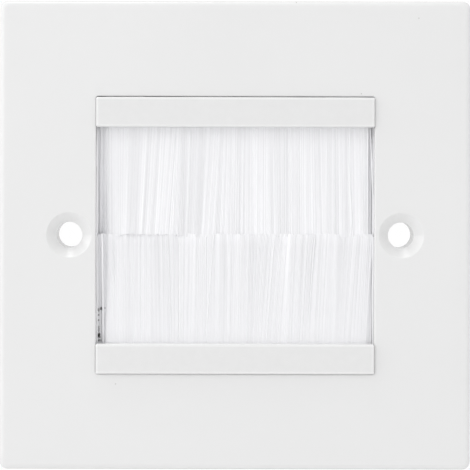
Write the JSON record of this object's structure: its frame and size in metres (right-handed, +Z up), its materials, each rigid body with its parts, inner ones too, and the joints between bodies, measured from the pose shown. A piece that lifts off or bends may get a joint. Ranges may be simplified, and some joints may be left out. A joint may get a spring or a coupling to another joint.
{
  "type": "brush cable grommet",
  "caption": "Square white wall plate with countersunk fixing holes and a square opening closed by facing rows of bristles that cables push through.",
  "frame": {"origin": "midway between the two fixing holes, in the plane of the wall that the plate's rim rests on", "axes": "+X to the right along the line of the fixing holes, +Y into the wall, +Z up; the front of the plate faces -Y"},
  "size_m": [0.086, 0.0098, 0.0856],
  "materials": {
    "plate_plastic": "moulded white, satin gloss",
    "insert_plastic": "moulded white, satin",
    "filament": "fine white nylon filament",
    "wire_steel": "plain drawn wire"
  },
  "bodies": {
    "root": {"faceplate": "plate_plastic", "upper_brush_bar": "insert_plastic", "lower_brush_bar": "insert_plastic", "upper_rear_clamp": "insert_plastic", "lower_rear_clamp": "insert_plastic", "upper_bristles": "filament", "lower_bristles": "filament", "upper_core_wire": "wire_steel", "lower_core_wire": "wire_steel"}
  },
  "joints": []
}
